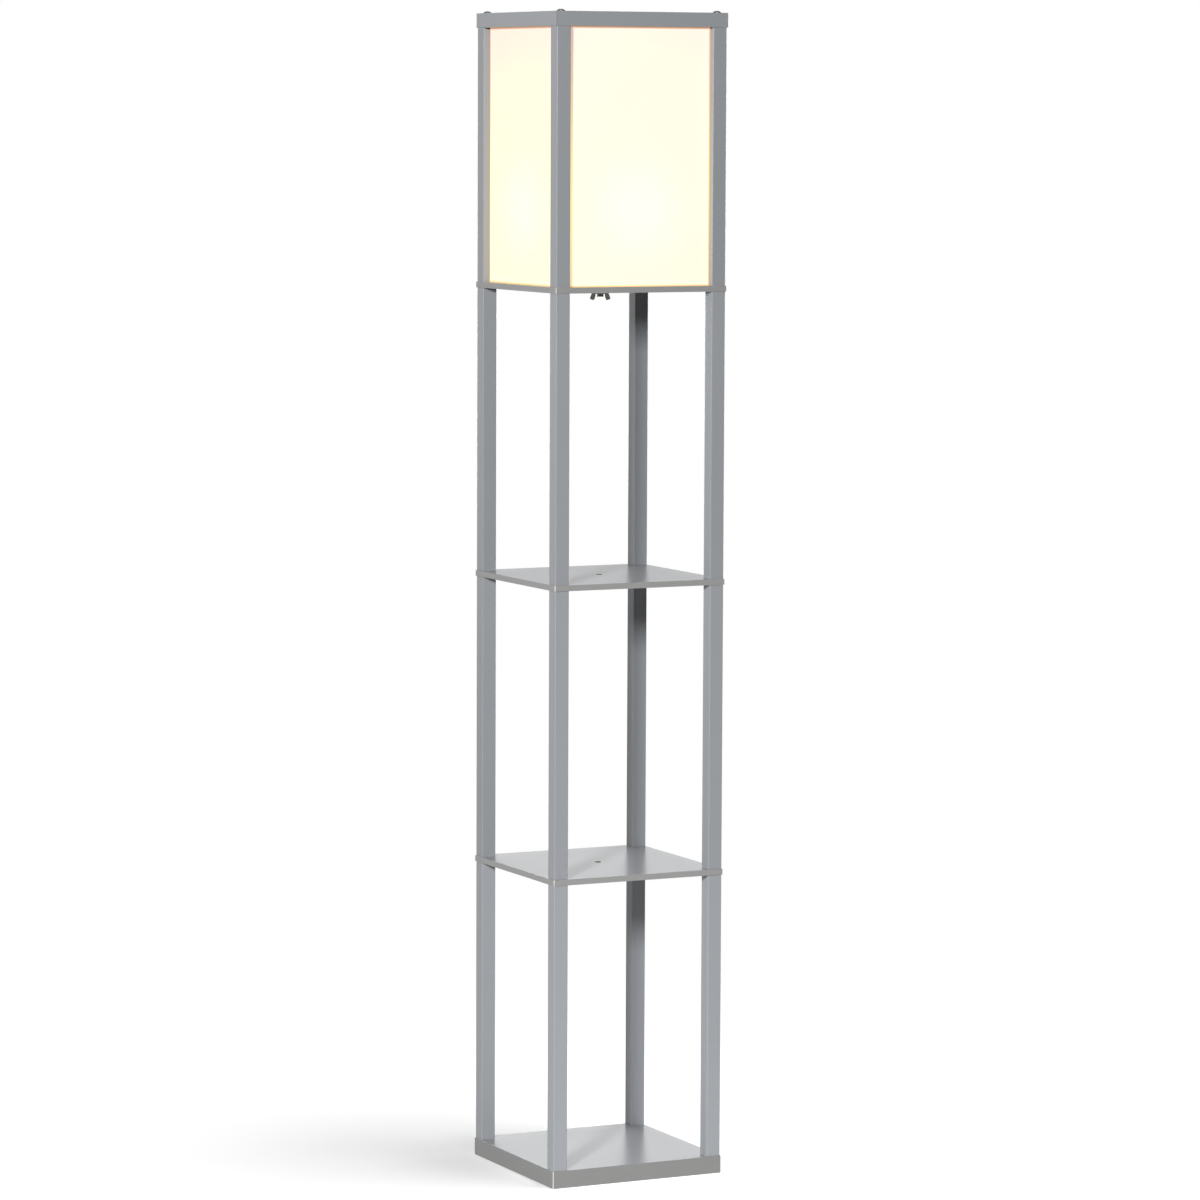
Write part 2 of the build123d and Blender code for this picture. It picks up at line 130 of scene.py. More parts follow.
FLOOR_SPAN = 14.0
FLOOR_NEAR = 0.55  # the floor is shaded out to here, and plain white from FLOOR_FAR on
FLOOR_FAR = 1.6

# ---------------------------------------------------------------- finishes
FOIL_COLOUR = (0.294, 0.306, 0.323)
# These three scale a finish's colour to the photograph's tones, in place of its light; 1 is the plain finish.
POST_TONES = {"lower": 1.20, "middle": 1.10, "upper": 1.03, "shade": 0.95}
CORNER_TONES = {"front_left": 1.0, "front_right": 1.0, "back_left": 0.92, "back_right": 0.92}
BAND_TONES = {"base": 0.94, "lower_shelf": 1.16, "middle_shelf": 1.1, "shade_floor": 1.0}
BAND_COLOUR = (0.285, 0.288, 0.282)
BAND_CORE_COLOUR = (0.85, 0.85, 0.82, 1)
# Fibreboard in a board's hole: partly its own brown, partly painted shade of the hole.
SHADED_FIBREBOARD_COLOUR = (0.045, 0.035, 0.025, 1)
RIM_COLOUR = (0.62, 0.62, 0.60, 1)  # foil chipped round a hole's edge
SEAM_COLOUR = (0.05, 0.05, 0.05, 1)
# Painted shadow: the dark wedge that the rail casts on the posts' reveals, right under the rail.
RAIL_SHADOW_COLOUR = (0.012, 0.011, 0.010, 1)
RAIL_SHADOW_SLOPE = 0.22  # the wedge's height over its depth
STAIN_COLOUR = (0.42, 0.40, 0.36, 1)
DARK_STAIN_COLOUR = (0.15, 0.14, 0.11, 1)
# Painted shade for the wing nut's hub, which lies in the board's shade.
HUB_SHADE_COLOUR = (0.03, 0.03, 0.025, 1)
PANEL_RIM_SHADE = (0.85, 0.55, 0.33, 1)  # painted shade: the darker, redder line where a panel goes into its frame
LINEN_COLOUR = (0.49, 0.46, 0.42, 1)
# The panels' glow is painted light: an emission placed round the bulb's centre.
GLOW_FAR = (0.52, 0.345, 0.414)  # the light that comes through a panel far from the bulb
GLOW_NEAR = (0.65, 0.68, 0.0)  # more of it towards the bulb
GLOW_SPOT = (0.11, 0.11, 0.11)  # and a small hot spot right in front of the bulb
GLOW_REACH = 0.20
GLOW_SPOT_EDGE = 0.10
M6_PITCH = 1.0 * MM
HUB_SHADE_REACH = 7.2 * MM  # painted shade: the wing nut is darkened out to here from its axis, as its hub lies in the board's shade
THREAD_SPACING = 0.55 * MM
SOFT_EDGE = 0.22 * MM
SHARP_ANGLE = 30


# ---------------------------------------------------------------- node tools
def put(tree, kind, inputs=None, **settings):
    """Add a node. Each input, by name or number, gets a link where it is given a socket, or else a value."""
    made = tree.nodes.new(kind)
    for name, value in settings.items():
        setattr(made, name, value)
    for key, value in (inputs or {}).items():
        if isinstance(value, bpy.types.NodeSocket):
            tree.links.new(value, made.inputs[key])
        else:
            made.inputs[key].default_value = value
    return made


def maths(tree, operation, *values):
    """The result of a Math node."""
    return put(tree, "ShaderNodeMath", dict(enumerate(values)), operation=operation).outputs[0]


def vector_maths(tree, operation, *values):
    """The vector that a Vector Math node puts out."""
    return put(tree, "ShaderNodeVectorMath", dict(enumerate(values)), operation=operation).outputs[0]


def between(tree, value, low, high, to_low=0.0, to_high=1.0):
    """A value mapped smoothly from one range to another, and held at its ends."""
    return put(tree, "ShaderNodeMapRange", {0: value, 1: low, 2: high, 3: to_low, 4: to_high},
               interpolation_type="SMOOTHSTEP").outputs[0]


def mixed(tree, factor, first, second, blend="MIX"):
    """One colour laid over another by a factor."""
    return put(tree, "ShaderNodeMix", {0: factor, 6: first, 7: second}, data_type="RGBA",
               blend_type=blend).outputs[2]


def noise(tree, vector, scale, detail=2.0, roughness=0.5):
    """Soft noise from 0 to 1."""
    return put(tree, "ShaderNodeTexNoise", {"Vector": vector, "Scale": scale, "Detail": detail,
                                            "Roughness": roughness}).outputs[0]


def split(tree, vector):
    """The three parts of a vector."""
    return put(tree, "ShaderNodeSeparateXYZ", {0: vector}).outputs


def group(name, inputs, outputs):
    """A shader node group: inputs are {name: default}, outputs {name: kind}. Gives the tree and both ends."""
    tree = bpy.data.node_groups.new(name, "ShaderNodeTree")
    kinds = {float: "NodeSocketFloat", tuple: "NodeSocketColor"}
    for label, default in inputs.items():
        kind = "NodeSocketVector" if default is None else kinds[type(default)]
        socket = tree.interface.new_socket(label, in_out="INPUT", socket_type=kind)
        if default is not None:
            socket.default_value = default
    for label, kind in outputs.items():
        tree.interface.new_socket(label, in_out="OUTPUT", socket_type="NodeSocket" + kind)
    return tree, tree.nodes.new("NodeGroupInput").outputs, tree.nodes.new("NodeGroupOutput").inputs


def use(tree, shared, **values):
    """A shared group placed in a material; an input named with underscores for its spaces."""
    values = {label.replace("_", " "): value for label, value in values.items()}
    return put(tree, "ShaderNodeGroup", values, node_tree=shared).outputs


# ---------------------------------------------------------------- shared effects
def make_surface_grain():
    """Broad mottling, small grain and uneven gloss, as on foil, film, plating and moulded plastic."""
    tree, given, result = group(
        "surface_grain",
        {"Vector": None, "Colour": (0.5, 0.5, 0.5, 1), "Mottling": 0.04, "Patch Size": 0.04,
         "Grain Size": 0.0008, "Roughness": 0.35, "Roughness Spread": 0.05},
        {"Colour": "Color", "Roughness": "Float", "Height": "Float"})
    patches = noise(tree, given["Vector"], maths(tree, "DIVIDE", 1.0, given["Patch Size"]), 3.0)
    grain = noise(tree, given["Vector"], maths(tree, "DIVIDE", 1.0, given["Grain Size"]), 1.0)
    lift = maths(tree, "ADD", maths(tree, "SUBTRACT", patches, 0.5),
                 maths(tree, "MULTIPLY", maths(tree, "SUBTRACT", grain, 0.5), 0.5))
    lift = maths(tree, "MULTIPLY_ADD", lift, given["Mottling"], 1.0)
    tree.links.new(vector_maths(tree, "MULTIPLY", given["Colour"], lift), result["Colour"])
    spread = maths(tree, "MULTIPLY", maths(tree, "SUBTRACT", patches, 0.5), given["Roughness Spread"])
    tree.links.new(maths(tree, "ADD", given["Roughness"], spread), result["Roughness"])
    tree.links.new(grain, result["Height"])
    return tree


def make_edge_wear():
    """A mask of rubbed edges and corners, broken up by noise."""
    tree, given, result = group("edge_wear", {"Vector": None, "Radius": 0.0006, "Amount": 0.5},
                                {"Mask": "Float"})
    rounded = put(tree, "ShaderNodeBevel", {"Radius": given["Radius"]}, samples=4).outputs[0]
    true_normal = put(tree, "ShaderNodeNewGeometry").outputs["Normal"]
    turn = put(tree, "ShaderNodeVectorMath", {0: rounded, 1: true_normal}, operation="DOT_PRODUCT").outputs[1]
    edge = between(tree, turn, 0.995, 0.90)
    rub = between(tree, noise(tree, given["Vector"], 90.0, 4.0), 0.42, 0.62)
    tree.links.new(maths(tree, "MULTIPLY", maths(tree, "MULTIPLY", edge, rub), given["Amount"]),
                   result["Mask"])
    return tree


def make_dust():
    """A mask of fine dust that settles on faces that look up."""
    tree, given, result = group("dust", {"Vector": None, "Amount": 0.05}, {"Mask": "Float"})
    up = split(tree, put(tree, "ShaderNodeNewGeometry").outputs["Normal"])[2]
    speck = between(tree, noise(tree, given["Vector"], 900.0, 2.0), 0.50, 0.75)
    drift = noise(tree, given["Vector"], 14.0, 2.0)
    fall = maths(tree, "MULTIPLY", between(tree, up, 0.3, 0.9), maths(tree, "ADD", speck, drift))
    tree.links.new(maths(tree, "MULTIPLY", fall, given["Amount"]), result["Mask"])
    return tree


def make_weave():
    """Plain weave with thick and thin threads; the vector is in metres, and its X runs along the weft."""
    tree, given, result = group("weave", {"Vector": None, "Spacing": 0.00055, "Slubs": 0.5},
                                {"Height": "Float", "Thread": "Float", "Slub": "Float"})
    across, up, _ = split(tree, given["Vector"])
    stretched = put(tree, "ShaderNodeCombineXYZ",
                    {0: maths(tree, "MULTIPLY", across, 0.03), 1: up}).outputs[0]
    sway = maths(tree, "MULTIPLY", maths(tree, "SUBTRACT", noise(tree, given["Vector"], 30.0), 0.5), 0.0012)
    turns = []
    for part in (across, up):
        turns.append(maths(tree, "MULTIPLY", maths(tree, "DIVIDE", maths(tree, "ADD", part, sway),
                                                   given["Spacing"]), math.pi))
    warp, weft = (maths(tree, "ABSOLUTE", maths(tree, "SINE", turn)) for turn in turns)
    over = maths(tree, "GREATER_THAN",
                 maths(tree, "MULTIPLY", maths(tree, "SINE", turns[0]), maths(tree, "SINE", turns[1])), 0.0)
    thread = put(tree, "ShaderNodeMix", {0: over, 2: warp, 3: weft}, data_type="FLOAT").outputs[0]
    slub = between(tree, noise(tree, stretched, 900.0, 2.0), 0.56, 0.72)
    slub = maths(tree, "MULTIPLY", slub, given["Slubs"])
    tree.links.new(maths(tree, "ADD", thread, slub), result["Height"])
    tree.links.new(thread, result["Thread"])
    tree.links.new(slub, result["Slub"])
    return tree


def make_lamp_glow():
    """Painted light: the glow a shade panel gives out, as if lit through by the bulb; whiter and stronger
    near the bulb, redder far from it.
    """
    tree, given, result = group("lamp_glow", {"Vector": None, "Strength": 1.0}, {"Colour": "Color"})
    side, depth, up = split(tree, given["Vector"])
    # A panel stands further out than it is wide to each side, so the smaller of the two is the way across.
    across = maths(tree, "MINIMUM", maths(tree, "ABSOLUTE", side), maths(tree, "ABSOLUTE", depth))
    rise = maths(tree, "SUBTRACT", up, bulb_middle)
    square = maths(tree, "ADD", maths(tree, "MULTIPLY", across, across), maths(tree, "MULTIPLY", rise, rise))
    near = maths(tree, "POWER", maths(tree, "MULTIPLY_ADD", square, GLOW_REACH ** -2, 1.0), -1.5)
    spot = between(tree, maths(tree, "SQRT", square), 0.0, GLOW_SPOT_EDGE, 1.0, 0.0)
    light = vector_maths(tree, "MULTIPLY_ADD", GLOW_NEAR, near, GLOW_FAR)
    light = vector_maths(tree, "MULTIPLY_ADD", GLOW_SPOT, spot, light)
    tree.links.new(vector_maths(tree, "MULTIPLY", light, given["Strength"]), result["Colour"])
    return tree


def make_thread_lines():
    """The height of a thread's ridges on a rod along Z, for rods too small to carve."""
    tree, given, result = group("thread_lines", {"Vector": None, "Pitch": 0.001}, {"Height": "Float"})
    turns = maths(tree, "DIVIDE", split(tree, given["Vector"])[2], given["Pitch"])
    tree.links.new(maths(tree, "PINGPONG", turns, 0.5), result["Height"])
    return tree


surface_grain = make_surface_grain()
edge_wear = make_edge_wear()
dust = make_dust()
weave = make_weave()
lamp_glow = make_lamp_glow()
thread_lines = make_thread_lines()


# ---------------------------------------------------------------- materials
def new_material(name, **constants):
    """A material with its Principled shader's plain sockets set; gives the material, its tree and shader."""
    made = bpy.data.materials.new(name)
    made.use_nodes = True
    shader = made.node_tree.nodes["Principled BSDF"]
    for label, value in constants.items():
        shader.inputs[label.replace("_", " ")].default_value = value
    return made, made.node_tree, shader


def here(tree):
    """The Object coordinates, which are the lamp's own frame."""
    return put(tree, "ShaderNodeTexCoord").outputs["Object"]


def bump(tree, shader, height, distance, strength=1.0, under=None):
    """Relief from a height that runs from 0 to 1, laid over another relief if one is given."""
    inputs = {"Height": height, "Distance": distance, "Strength": strength}
    if under is not None:
        inputs["Normal"] = under
    made = put(tree, "ShaderNodeBump", inputs).outputs[0]
    tree.links.new(made, shader.inputs["Normal"])
    return made


def finish_with(tree, shader, colour, roughness):
    """Link a colour and a roughness to the shader."""
    tree.links.new(colour, shader.inputs["Base Color"])
    tree.links.new(roughness, shader.inputs["Roughness"])


def foil_material(name, kind, tone=1.0):
    """Satin grey foil over fibreboard. A post's foil closes in a seam, a rail has a mitre at each end, and a
    board's hole shows the fibreboard, darkened with painted shade."""
    # The tone is painted light and shade: lit and shaded copies of one foil, by tier and corner.
    light_toned_colour = (*(part * tone for part in FOIL_COLOUR), 1)
    made, tree, shader = new_material(name, Specular_IOR_Level=0.5)
    place = here(tree)
    grain = use(tree, surface_grain, Vector=place, Colour=light_toned_colour, Mottling=0.04, Patch_Size=0.07,
                Grain_Size=1.1 * MM, Roughness=0.29, Roughness_Spread=0.02)
    side, depth, up = split(tree, place)
    side, depth = maths(tree, "ABSOLUTE", side), maths(tree, "ABSOLUTE", depth)
    worn = use(tree, edge_wear, Vector=place, Radius=0.8 * MM, Amount=0.06)["Mask"]
    colour = mixed(tree, worn, grain["Colour"], (0.46, 0.46, 0.46, 1))
    colour = mixed(tree, use(tree, dust, Vector=place, Amount=0.015)["Mask"], colour, (0.62, 0.61, 0.59, 1))
    if kind == "post":
        # The seam runs up the middle of the inner face that looks along X.
        off_middle = maths(tree, "ABSOLUTE", maths(tree, "SUBTRACT", depth, post_middle))
        line = between(tree, off_middle, 0.10 * MM, 0.25 * MM, 1.0, 0.0)
        inside = between(tree, side, post_inner + 0.1 * MM, post_inner + 0.3 * MM, 1.0, 0.0)
        mark = maths(tree, "MULTIPLY", line, inside)
        colour = mixed(tree, maths(tree, "MULTIPLY", mark, 0.5), colour, (0.16, 0.16, 0.17, 1))
        # The photograph has a small dark wedge on the posts' reveals, right under the rail, where the rail's
        # shadow falls. It is painted on: a painted shadow.
        outer = maths(tree, "SUBTRACT", half_side, maths(tree, "MAXIMUM", side, depth))
        wedge = maths(tree, "LESS_THAN", maths(tree, "SUBTRACT", rail_low, up),
                      maths(tree, "MULTIPLY", outer, RAIL_SHADOW_SLOPE))
        wedge = maths(tree, "MULTIPLY", wedge, maths(tree, "LESS_THAN", outer, half_side + panel_low.y))
        reveal = maths(tree, "LESS_THAN", maths(tree, "MINIMUM", side, depth), post_inner + 0.2 * MM)
        colour = mixed(tree, maths(tree, "MULTIPLY", wedge, reveal), colour, RAIL_SHADOW_COLOUR)
        height = maths(tree, "SUBTRACT", grain["Height"], mark)
    elif kind == "rail":
        off_corner = maths(tree, "ABSOLUTE", maths(tree, "SUBTRACT", side, depth))
        mark = between(tree, off_corner, 0.35 * MM, 0.65 * MM, 1.0, 0.0)
        colour = mixed(tree, maths(tree, "MULTIPLY", mark, 0.8), colour, SEAM_COLOUR)
        height = maths(tree, "SUBTRACT", grain["Height"], mark)
    else:
        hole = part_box("threaded_nipple")[1].x + 0.4 * MM
        reach = maths(tree, "SQRT", maths(tree, "ADD", maths(tree, "MULTIPLY", side, side),
                                          maths(tree, "MULTIPLY", depth, depth)))
        normal = put(tree, "ShaderNodeNewGeometry").outputs["Normal"]
        looks_up = maths(tree, "ABSOLUTE", split(tree, normal)[2])
        raw = maths(tree, "MULTIPLY", maths(tree, "LESS_THAN", reach, hole),
                    maths(tree, "LESS_THAN", looks_up, 0.5))
        # The hole's wall is fibreboard darkened with painted shade.
        shaded_fibre = mixed(tree, noise(tree, place, 2500.0, 3.0), SHADED_FIBREBOARD_COLOUR, (0.08, 0.06, 0.04, 1))
        chipped = maths(tree, "MULTIPLY", between(tree, reach, hole + 0.5 * MM, hole + 1.1 * MM, 1.0, 0.0),
                        between(tree, noise(tree, place, 700.0), 0.30, 0.50))
        chipped = maths(tree, "MULTIPLY", chipped, maths(tree, "GREATER_THAN", up, base_top + MM))
        colour = mixed(tree, maths(tree, "MULTIPLY", chipped, 0.7), colour, RIM_COLOUR)
        colour = mixed(tree, raw, colour, shaded_fibre)
        height = grain["Height"]
    finish_with(tree, shader, colour, grain["Roughness"])
    bump(tree, shader, height, 0.05 * MM, 0.35)
    return made


def band_material(name, tone):
    """Edge band: a little less blue than the foil, with its pale core bare at the corners."""
    made, tree, shader = new_material(name, Specular_IOR_Level=0.35)
    place = here(tree)
    # The tone is painted light and shade: lit and shaded copies of one edge band, board by board.
    light_toned_colour = (*(part * tone for part in BAND_COLOUR), 1)
    grain = use(tree, surface_grain, Vector=place, Colour=light_toned_colour, Mottling=0.08, Patch_Size=0.03,
                Grain_Size=0.9 * MM, Roughness=0.40, Roughness_Spread=0.08)
    side, depth, up = split(tree, place)
    along = put(tree, "ShaderNodeCombineXYZ", {0: maths(tree, "MULTIPLY", side, 0.05),
                                               1: maths(tree, "MULTIPLY", depth, 0.05), 2: up}).outputs[0]
    drawn = noise(tree, along, 1500.0, 2.0)
    worn = use(tree, edge_wear, Vector=place, Radius=0.6 * MM, Amount=0.5)["Mask"]
    colour = mixed(tree, worn, grain["Colour"], (0.50, 0.50, 0.49, 1))
    side, depth = maths(tree, "ABSOLUTE", side), maths(tree, "ABSOLUTE", depth)
    core = between(tree, maths(tree, "MINIMUM", side, depth), half_side - 0.9 * MM, half_side - 0.6 * MM)
    colour = mixed(tree, core, colour, BAND_CORE_COLOUR)
    finish_with(tree, shader, colour, grain["Roughness"])
    bump(tree, shader, maths(tree, "ADD", grain["Height"], drawn), 0.04 * MM, 0.4)
    return made


def linen_material():
    """Fine linen laminated on the film, with a painted glow standing for light from behind through its
    threads.
    """
    made, tree, shader = new_material("lit_linen", Specular_IOR_Level=0.2, Sheen_Weight=0.05,
                                      Emission_Strength=1.0)
    flat = put(tree, "ShaderNodeUVMap", uv_map="cut").outputs[0]
    cloth = use(tree, weave, Vector=flat, Spacing=THREAD_SPACING, Slubs=0.5)
    place = here(tree)
    grain = use(tree, surface_grain, Vector=place, Colour=LINEN_COLOUR, Mottling=0.05, Patch_Size=0.05,
                Grain_Size=0.5 * MM, Roughness=0.8, Roughness_Spread=0.1)
    shade = maths(tree, "MULTIPLY_ADD", cloth["Thread"], 0.10, 0.93)
    shade = maths(tree, "SUBTRACT", shade, maths(tree, "MULTIPLY", cloth["Slub"], 0.08))
    through = maths(tree, "MULTIPLY_ADD", cloth["Thread"], -0.05, 1.03)
    through = maths(tree, "SUBTRACT", through, maths(tree, "MULTIPLY", cloth["Slub"], 0.08))
    side, depth, up = split(tree, place)
    across = maths(tree, "MINIMUM", maths(tree, "ABSOLUTE", side), maths(tree, "ABSOLUTE", depth))
    free = maths(tree, "MINIMUM", maths(tree, "SUBTRACT", post_inner, across),
                 maths(tree, "MINIMUM", maths(tree, "SUBTRACT", rail_low, up),
                       maths(tree, "SUBTRACT", up, shade_floor_top)))
    # Painted shade at the panel's rim, laid on both its colour and its glow.
    rim = between(tree, free, 0.3 * MM, 3.0 * MM, 1.0, 0.0)
    rim_shade = mixed(tree, rim, (1, 1, 1, 1), PANEL_RIM_SHADE)
    coloured = vector_maths(tree, "MULTIPLY", vector_maths(tree, "MULTIPLY", grain["Colour"], shade), rim_shade)
    finish_with(tree, shader, coloured, grain["Roughness"])
    glow = use(tree, lamp_glow, Vector=place, Strength=through)["Colour"]
    tree.links.new(vector_maths(tree, "MULTIPLY", glow, rim_shade), shader.inputs["Emission Color"])
    bump(tree, shader, cloth["Height"], 0.08 * MM, 0.5)
    return made


def film_material():
    """The white film behind the linen, with a painted glow inside the shade."""
    made, tree, shader = new_material("shade_film", Specular_IOR_Level=0.4, Emission_Strength=0.6)
    place = here(tree)
    grain = use(tree, surface_grain, Vector=place, Colour=(0.82, 0.80, 0.74, 1), Mottling=0.04,
                Patch_Size=0.06, Grain_Size=1.5 * MM, Roughness=0.45, Roughness_Spread=0.1)
    finish_with(tree, shader, grain["Colour"], grain["Roughness"])
    tree.links.new(use(tree, lamp_glow, Vector=place)["Colour"], shader.inputs["Emission Color"])
    bump(tree, shader, grain["Height"], 0.03 * MM, 0.3)
    return made


def metal_material(name, colour, stain, roughness, pitch=None, shaded_hub=None):
    """Plated or plain metal with faint stains. A rod's thread is drawn where a pitch is given, and metal
    nearer to the lamp's axis than the given hub reach is darkened: painted shade, where the hub lies under
    the board."""
    made, tree, shader = new_material(name, Metallic=1.0)
    place = here(tree)
    grain = use(tree, surface_grain, Vector=place, Colour=colour, Mottling=0.18, Patch_Size=6 * MM,
                Grain_Size=0.35 * MM, Roughness=roughness, Roughness_Spread=0.22)
    spots = between(tree, noise(tree, place, 260.0, 4.0, 0.6), 0.55, 0.75)
    coloured = mixed(tree, maths(tree, "MULTIPLY", spots, 0.45), grain["Colour"], stain)
    if shaded_hub:
        reach = put(tree, "ShaderNodeVectorMath", {0: vector_maths(tree, "MULTIPLY", place, (1, 1, 0))},
                    operation="LENGTH").outputs["Value"]
        # Painted shade: the hub is darkened, as it lies in the board's shade.
        coloured = mixed(tree, between(tree, reach, shaded_hub, shaded_hub + 1.5 * MM), HUB_SHADE_COLOUR, coloured)
    finish_with(tree, shader, coloured, grain["Roughness"])
    relief = bump(tree, shader, grain["Height"], 0.03 * MM, 0.35)
    if pitch:
        ridges = use(tree, thread_lines, Vector=place, Pitch=pitch)["Height"]
        bump(tree, shader, ridges, 0.5 * MM, 1.0, relief)
    return made


def moulded_material(name, colour, roughness, relief=0.05 * MM, **constants):
    """Moulded plastic with a fine spark texture and slightly polished edges."""
    made, tree, shader = new_material(name, **constants)
    place = here(tree)
    grain = use(tree, surface_grain, Vector=place, Colour=colour, Mottling=0.06, Patch_Size=12 * MM,
                Grain_Size=0.3 * MM, Roughness=roughness, Roughness_Spread=0.12)
    worn = use(tree, edge_wear, Vector=place, Radius=0.5 * MM, Amount=0.4)["Mask"]
    lighter = mixed(tree, 0.25, colour, (0.8, 0.8, 0.8, 1))
    finish_with(tree, shader, mixed(tree, worn, grain["Colour"], lighter), grain["Roughness"])
    bump(tree, shader, grain["Height"], relief, 0.4)
    return made, tree, shader


def globe_material():
    """Opal plastic lit from inside, a little dimmer towards its foot."""
    made, tree, shader = moulded_material("opal", (0.90, 0.87, 0.78, 1), 0.42, 0.02 * MM,
                                          Emission_Strength=0.6)
    up = split(tree, here(tree))[2]
    lit = between(tree, up, globe_low.z, bulb_middle, 0.7, 1.0)
    tree.links.new(vector_maths(tree, "MULTIPLY", (1.0, 0.76, 0.44), lit), shader.inputs["Emission Color"])
    return made


def led_board_material():
    """White solder mask, with yellow phosphor on top of each LED."""
    made, tree, shader = moulded_material("led_board", (0.80, 0.80, 0.78, 1), 0.35, 0.02 * MM)
    up = split(tree, here(tree))[2]
    chip = maths(tree, "GREATER_THAN", up, globe_low.z + 0.2 * MM)
    old = shader.inputs["Base Color"].links[0].from_socket
    tree.links.new(mixed(tree, chip, old, (0.85, 0.60, 0.12, 1)), shader.inputs["Base Color"])
    return made


def circuit_board_material():
    """Green solder mask with the lines of its copper tracks."""
    made, tree, shader = moulded_material("circuit_board", (0.02, 0.16, 0.06, 1), 0.35, 0.02 * MM)
    tracks = put(tree, "ShaderNodeTexBrick", {"Vector": here(tree), "Scale": 180.0, "Mortar Size": 0.06})
    old = shader.inputs["Base Color"].links[0].from_socket
    copper = mixed(tree, tracks.outputs["Fac"], old, (0.05, 0.30, 0.12, 1))
    tree.links.new(copper, shader.inputs["Base Color"])
    return made


post_foils = {(tier, corner): foil_material(f"{tier}_{corner}_foil", "post", tone * CORNER_TONES[corner])
              for tier, tone in POST_TONES.items() for corner in CORNERS}
rail_foil = foil_material("rail_foil", "rail", POST_TONES["shade"])
board_foil = foil_material("board_foil", "board")
edge_bands = {board: band_material(board + "_band", tone) for board, tone in BAND_TONES.items()}
linen = linen_material()
film = film_material()
zinc = metal_material("zinc_plate", (0.31, 0.30, 0.26, 1), DARK_STAIN_COLOUR, 0.38)
nut_zinc = metal_material("nut_zinc", (0.33, 0.32, 0.27, 1), DARK_STAIN_COLOUR, 0.40, shaded_hub=HUB_SHADE_REACH)
zinc_thread = metal_material("zinc_thread", (0.56, 0.55, 0.53, 1), STAIN_COLOUR, 0.38, M6_PITCH)
black_zinc = metal_material("black_zinc", (0.06, 0.06, 0.062, 1), (0.10, 0.09, 0.08, 1), 0.38)
brass = metal_material("brass", (0.72, 0.53, 0.24, 1), (0.45, 0.30, 0.12, 1), 0.32)
nickel = metal_material("nickel", (0.66, 0.65, 0.62, 1), STAIN_COLOUR, 0.30)
black_plastic = moulded_material("black_plastic", (0.035, 0.035, 0.037, 1), 0.45)[0]
core_plastic = moulded_material("core_plastic", (0.74, 0.72, 0.66, 1), 0.30)[0]
black_glass = moulded_material("black_glass", (0.02, 0.02, 0.025, 1), 0.15, Coat_Weight=0.5)[0]
bulb_plastic = moulded_material("bulb_plastic", (0.78, 0.78, 0.76, 1), 0.32)[0]
opal = globe_material()
led_board = led_board_material()
circuit_board = circuit_board_material()


# ---------------------------------------------------------------- mesh tools
def new_piece(name, mesh, material):
    """An object at the origin with its place in its mesh."""
    mesh.materials.clear()
    mesh.materials.append(material)
    piece = bpy.data.objects.new(name, mesh)
    bpy.context.scene.collection.objects.link(piece)
    return piece


def made_plain(piece):
    """Turn a piece's modifiers into its own mesh, so that it holds one plain mesh."""
    seen = piece.evaluated_get(bpy.context.evaluated_depsgraph_get())
    mesh = bpy.data.meshes.new_from_object(seen)
    piece.modifiers.clear()
    piece.data = mesh
    return piece


def stands_for(piece, slot_name, *nodes):
    """The piece rides where its nodes do, and hides them; the slot name is not used."""
    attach(piece, frame["nodes"][nodes[0]]["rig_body"])
    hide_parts(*nodes)
    return piece


def merged_copy(node, name, solids=1):
    """A CAD node as a clean mesh: loose triangles joined, and flat faces made whole. Alike solids that touch,
    such as the strips round a board, are given as their number, so that each is joined by itself."""
    source = frame["nodes"][node].data
    mesh = bpy.data.meshes.new(name)
    mesh.from_pydata([corner.co for corner in source.vertices], [],
                     [list(face.vertices) for face in source.polygons])
    form = bmesh.new()
    form.from_mesh(mesh)
    form.verts.ensure_lookup_table()
    share = len(form.verts) // solids
    parts = [form.verts[start:start + share] for start in range(0, share * solids, share)]
    for corners in parts:
        bmesh.ops.remove_doubles(form, verts=corners, dist=0.001 * MM)
    bmesh.ops.dissolve_limit(form, angle_limit=math.radians(0.5), verts=form.verts, edges=form.edges)
    form.to_mesh(mesh)
    form.free()
    return mesh


def softened(node, name, material, slot_name, width=SOFT_EDGE, solids=1):
    """A copy of a CAD node with its sharp edges rounded off, standing for the node."""
    piece = new_piece(name, merged_copy(node, name, solids), material)
    piece.data.shade_smooth()
    rounding = piece.modifiers.new("rounded edges", "BEVEL")
    rounding.width = width
    rounding.segments = 2
    rounding.limit_method = "ANGLE"
    rounding.angle_limit = math.radians(SHARP_ANGLE)
    rounding.use_clamp_overlap = False
    rounding.miter_outer = "MITER_ARC"
    even = piece.modifiers.new("even shading", "WEIGHTED_NORMAL")
    even.keep_sharp = True
    return stands_for(made_plain(piece), slot_name, node)


def cast(node, name, material, slot_name, voxel, passes):
    """A copy of a CAD node with its whole surface softened as a casting's is, standing for the node."""
    piece = new_piece(name, merged_copy(node, name), material)
    remesh = piece.modifiers.new("even skin", "REMESH")
    remesh.mode = "VOXEL"
    remesh.voxel_size = voxel
    remesh.use_smooth_shade = True
    smooth = piece.modifiers.new("cast edges", "SMOOTH")
    smooth.iterations = passes
    return stands_for(made_plain(piece), slot_name, node)


